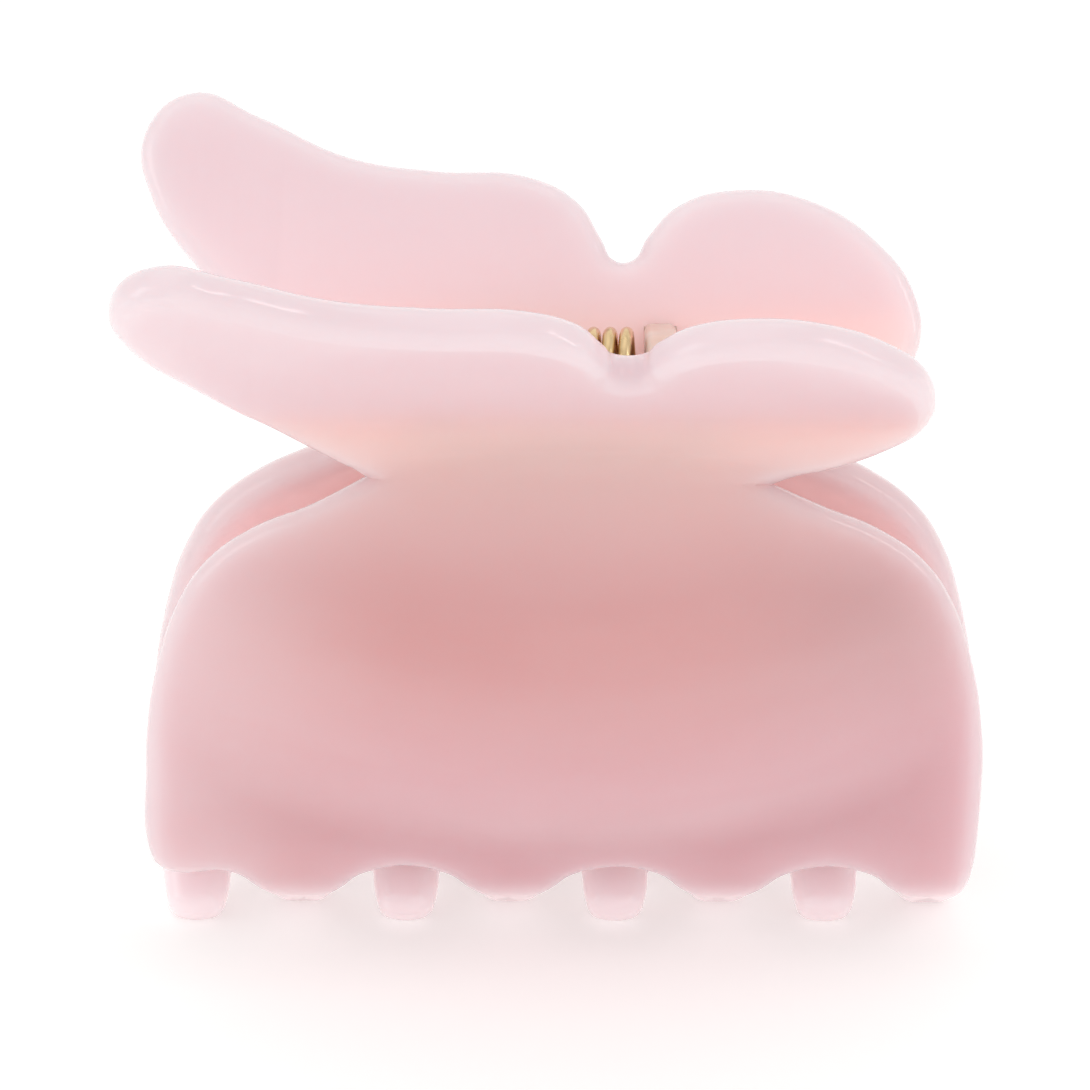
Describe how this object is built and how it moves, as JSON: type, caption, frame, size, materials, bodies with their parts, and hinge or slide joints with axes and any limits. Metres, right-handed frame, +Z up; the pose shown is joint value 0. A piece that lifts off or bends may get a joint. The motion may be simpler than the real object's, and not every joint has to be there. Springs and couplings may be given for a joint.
{
  "type": "hair claw clip",
  "caption": "Hair claw clip with butterfly-shaped thumb wings, domed claws with interlocking curled teeth, and a pinned torsion-spring hinge.",
  "frame": {"origin": "on the surface that the teeth stand on, under the middle of the closed clip", "axes": "+X along the hinge pin, +Y towards the back claw, +Z up from the teeth to the wings"},
  "size_m": [0.0781, 0.045, 0.0746],
  "materials": {
    "acetate": "polished, slightly see-through pink cellulose acetate",
    "gold": "polished gold plating"
  },
  "bodies": {
    "front_half": {"front_claw": "acetate", "front_lug_left": "acetate", "front_lug_right": "acetate", "hinge_pin": "gold", "pin_cap": "gold", "torsion_spring": "gold"},
    "back_half": {"back_claw": "acetate", "back_lug_left": "acetate", "back_lug_right": "acetate"}
  },
  "joints": [
    {"name": "claw_hinge", "type": "hinge", "parent": "front_half", "child": "back_half", "pos_m": [0, 0, 0.05627], "axis": [1, 0, 0], "range_deg": [0, 90], "stiffness_Nm_per_rad": 0.076, "springref_deg": -60.16, "deforming": ["torsion_spring"]}
  ]
}
